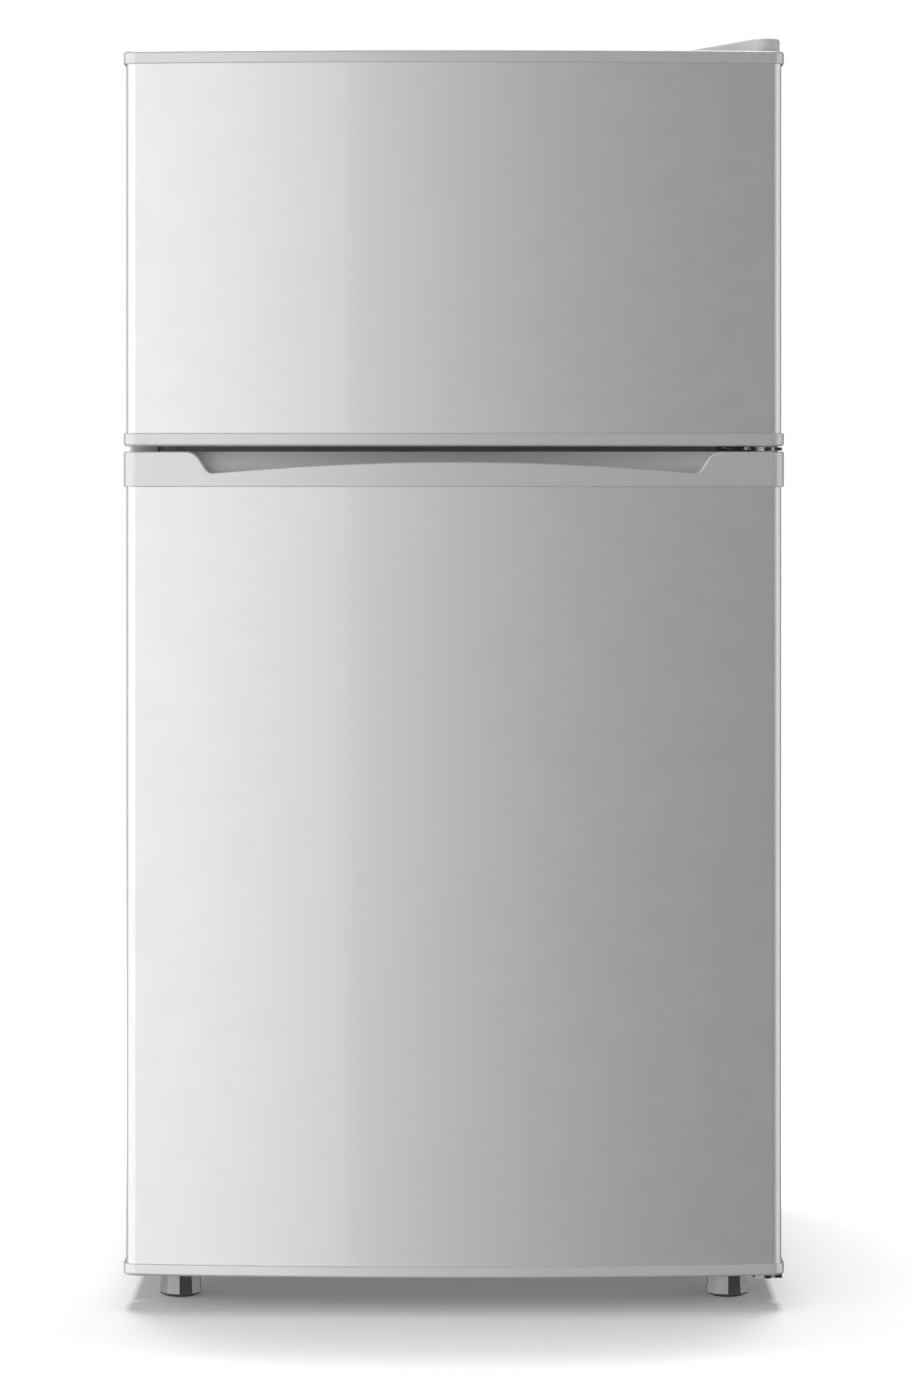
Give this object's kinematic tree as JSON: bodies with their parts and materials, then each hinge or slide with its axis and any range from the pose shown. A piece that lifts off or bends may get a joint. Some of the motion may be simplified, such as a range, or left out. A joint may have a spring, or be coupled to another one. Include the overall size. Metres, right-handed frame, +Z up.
{
  "type": "top freezer refrigerator",
  "caption": "Compact refrigerator with a freezer compartment above and a larger fresh-food compartment below, each behind its own bowed door.",
  "frame": {"origin": "centre of the bounding box's bottom face, on the floor", "axes": "+Z up, +Y from the doors to the back, +X to the right of someone facing the doors"},
  "size_m": [0.441, 0.48, 0.848],
  "materials": {
    "door_silver_steel": "satin",
    "silver_plastic": "satin",
    "cabinet_steel": "satin",
    "galvanised_steel": "satin",
    "zinc_steel": "polished",
    "pale_grey_plastic": "satin",
    "white_plastic": "gloss",
    "clear_plastic": "gloss",
    "drawer_plastic": "gloss",
    "shelf_glass": "gloss",
    "foam": "matte",
    "seal_grey": "matte",
    "black_plastic": "matte",
    "black_rubber": "matte",
    "black_enamel": "gloss",
    "white_wire": "gloss",
    "copper": "satin",
    "aluminium_sheet": "satin",
    "frosted_glass": "matte",
    "nylon": "matte"
  },
  "bodies": {
    "cabinet": {"side_panels": "cabinet_steel", "top_panel": "cabinet_steel", "back_panel": "cabinet_steel", "base_frame": "galvanised_steel", "compressor_bay_panel": "galvanised_steel", "mullion_strip": "cabinet_steel", "freezer_liner": "white_plastic", "fridge_liner": "white_plastic", "cabinet_foam": "foam", "top_hinge_plate": "zinc_steel", "middle_hinge_bracket": "zinc_steel", "bottom_hinge_bracket": "zinc_steel", "hinge_pins": "zinc_steel", "top_hinge_cover": "pale_grey_plastic", "cabinet_screws": "zinc_steel", "hinge_hole_caps": "pale_grey_plastic", "rear_feet": "black_rubber", "shelf_glass": "shelf_glass", "shelf_trims": "white_plastic", "freezer_shelf": "white_wire", "control_housing": "white_plastic", "lamp_cover": "clear_plastic", "thermostat": "galvanised_steel", "lamp_bulb": "frosted_glass", "compressor": "black_enamel", "compressor_grommets": "black_rubber", "compressor_bolts": "zinc_steel", "compressor_relay_cover": "black_plastic", "evaporating_tray": "black_plastic", "condenser_coils": "copper", "refrigerant_pipes": "copper", "evaporator_plates": "aluminium_sheet", "drain_tube": "nylon", "cord_grommet": "black_rubber"},
    "freezer_door": {"freezer_door_panel": "door_silver_steel", "freezer_door_top_cap": "silver_plastic", "freezer_door_bottom_cap": "silver_plastic", "freezer_door_liner": "white_plastic", "freezer_door_gasket": "seal_grey", "freezer_door_bushings": "nylon", "freezer_door_foam": "foam"},
    "fridge_door": {"fridge_door_panel": "door_silver_steel", "fridge_door_handle_cap": "silver_plastic", "fridge_door_bottom_cap": "silver_plastic", "fridge_door_liner": "white_plastic", "fridge_door_gasket": "seal_grey", "fridge_door_bushings": "nylon", "fridge_door_foam": "foam"},
    "freezer_lower_rack": {"freezer_lower_rack": "clear_plastic"},
    "freezer_upper_rack": {"freezer_upper_rack": "clear_plastic"},
    "bottle_rack": {"bottle_rack": "clear_plastic"},
    "middle_rack": {"middle_rack": "clear_plastic"},
    "upper_rack": {"upper_rack": "clear_plastic"},
    "crisper_drawer": {"crisper_drawer": "drawer_plastic"},
    "thermostat_knob": {"thermostat_knob": "white_plastic"},
    "door_switch_plunger": {"door_switch_plunger": "white_plastic"},
    "left_foot_screw": {"left_foot_screw": "black_plastic"},
    "right_foot_screw": {"right_foot_screw": "black_plastic"},
    "left_foot_pad": {"left_foot_pad": "black_rubber"},
    "right_foot_pad": {"right_foot_pad": "black_rubber"}
  },
  "joints": [
    {"name": "freezer_door_hinge", "type": "hinge", "parent": "cabinet", "child": "freezer_door", "pos_m": [0.2085, -0.21, 0.7], "axis": [0, 0, 1], "range_deg": [0, 130]},
    {"name": "fridge_door_hinge", "type": "hinge", "parent": "cabinet", "child": "fridge_door", "pos_m": [0.2085, -0.21, 0.3], "axis": [0, 0, 1], "range_deg": [0, 130]},
    {"name": "freezer_lower_rack_lift", "type": "slide", "parent": "freezer_door", "child": "freezer_lower_rack", "axis": [0, 0, 1], "range_m": [0, 0.016]},
    {"name": "freezer_upper_rack_lift", "type": "slide", "parent": "freezer_door", "child": "freezer_upper_rack", "axis": [0, 0, 1], "range_m": [0, 0.016]},
    {"name": "bottle_rack_lift", "type": "slide", "parent": "fridge_door", "child": "bottle_rack", "axis": [0, 0, 1], "range_m": [0, 0.016]},
    {"name": "middle_rack_lift", "type": "slide", "parent": "fridge_door", "child": "middle_rack", "axis": [0, 0, 1], "range_m": [0, 0.016]},
    {"name": "upper_rack_lift", "type": "slide", "parent": "fridge_door", "child": "upper_rack", "axis": [0, 0, 1], "range_m": [0, 0.016]},
    {"name": "crisper_drawer_slide", "type": "slide", "parent": "cabinet", "child": "crisper_drawer", "axis": [0, -1, 0], "range_m": [0, 0.014]},
    {"name": "thermostat_knob_turn", "type": "hinge", "parent": "cabinet", "child": "thermostat_knob", "pos_m": [0.044, -0.15, 0.5145], "axis": [0, -1, 0], "range_deg": [0, 270]},
    {"name": "door_switch_press", "type": "slide", "parent": "cabinet", "child": "door_switch_plunger", "axis": [0, 1, 0], "range_m": [0, 0.003], "stiffness_N_per_m": 40, "springref_m": -0.004},
    {"name": "left_foot_lower", "type": "slide", "parent": "cabinet", "child": "left_foot_pad", "axis": [0, 0, -1], "range_m": [0, 0.0121]},
    {"name": "left_foot_turn", "type": "hinge", "parent": "left_foot_pad", "child": "left_foot_screw", "pos_m": [-0.1855, -0.167, 0.01], "axis": [0, 0, -1], "range_deg": [0, 3456]},
    {"name": "right_foot_lower", "type": "slide", "parent": "cabinet", "child": "right_foot_pad", "axis": [0, 0, -1], "range_m": [0, 0.0121]},
    {"name": "right_foot_turn", "type": "hinge", "parent": "right_foot_pad", "child": "right_foot_screw", "pos_m": [0.1855, -0.167, 0.01], "axis": [0, 0, -1], "range_deg": [0, 3456]}
  ],
  "couplings": [
    {"joint": "left_foot_lower", "follows": "left_foot_turn", "m_per_rad": 0.00019894},
    {"joint": "right_foot_lower", "follows": "right_foot_turn", "m_per_rad": 0.00019894}
  ]
}
